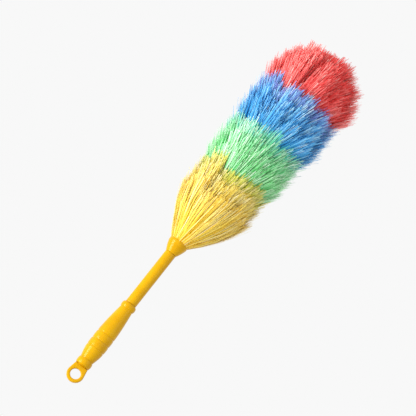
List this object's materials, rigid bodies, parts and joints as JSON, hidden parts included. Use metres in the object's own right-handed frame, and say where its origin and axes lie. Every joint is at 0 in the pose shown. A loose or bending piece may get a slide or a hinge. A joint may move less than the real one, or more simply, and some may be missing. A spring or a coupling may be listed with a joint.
{
  "type": "static hand duster",
  "caption": "Hand duster with a hollow moulded handle, a hanging eye, a straight shaft and flared ferrule, and a domed head of slit film fibre in colour bands.",
  "frame": {"origin": "on the handle's axis, at the middle of the grip's length, where a hand holds the duster", "axes": "+Z along the handle's axis from the hanging eye to the head; +Y square to the flat of the hanging eye; +X is the way that the head's tips droop"},
  "size_m": [0.1409, 0.1362, 0.6018],
  "materials": {
    "handle_plastic": "satin moulded polypropylene",
    "core_plastic": "extruded polypropylene",
    "yellow_fibre": "slit polypropylene film",
    "green_fibre": "slit polypropylene film",
    "blue_fibre": "slit polypropylene film",
    "red_fibre": "slit polypropylene film",
    "binding_steel": "galvanised band"
  },
  "bodies": {
    "root": {"hang_eye": "handle_plastic", "grip": "handle_plastic", "shaft": "handle_plastic", "ferrule": "handle_plastic", "core_tube": "core_plastic", "core_cap": "core_plastic", "yellow_fringe_1": "yellow_fibre", "yellow_fringe_2": "yellow_fibre", "yellow_fringe_3": "yellow_fibre", "green_fringe_1": "green_fibre", "green_fringe_2": "green_fibre", "green_fringe_3": "green_fibre", "blue_fringe_1": "blue_fibre", "blue_fringe_2": "blue_fibre", "blue_fringe_3": "blue_fibre", "red_fringe_1": "red_fibre", "red_fringe_2": "red_fibre", "red_fringe_3": "red_fibre", "red_crown_fringe": "red_fibre", "yellow_binding_1": "binding_steel", "yellow_binding_2": "binding_steel", "yellow_binding_3": "binding_steel", "green_binding_1": "binding_steel", "green_binding_2": "binding_steel", "green_binding_3": "binding_steel", "blue_binding_1": "binding_steel", "blue_binding_2": "binding_steel", "blue_binding_3": "binding_steel", "red_binding_1": "binding_steel", "red_binding_2": "binding_steel", "red_binding_3": "binding_steel", "red_crown_binding": "binding_steel"}
  },
  "joints": []
}
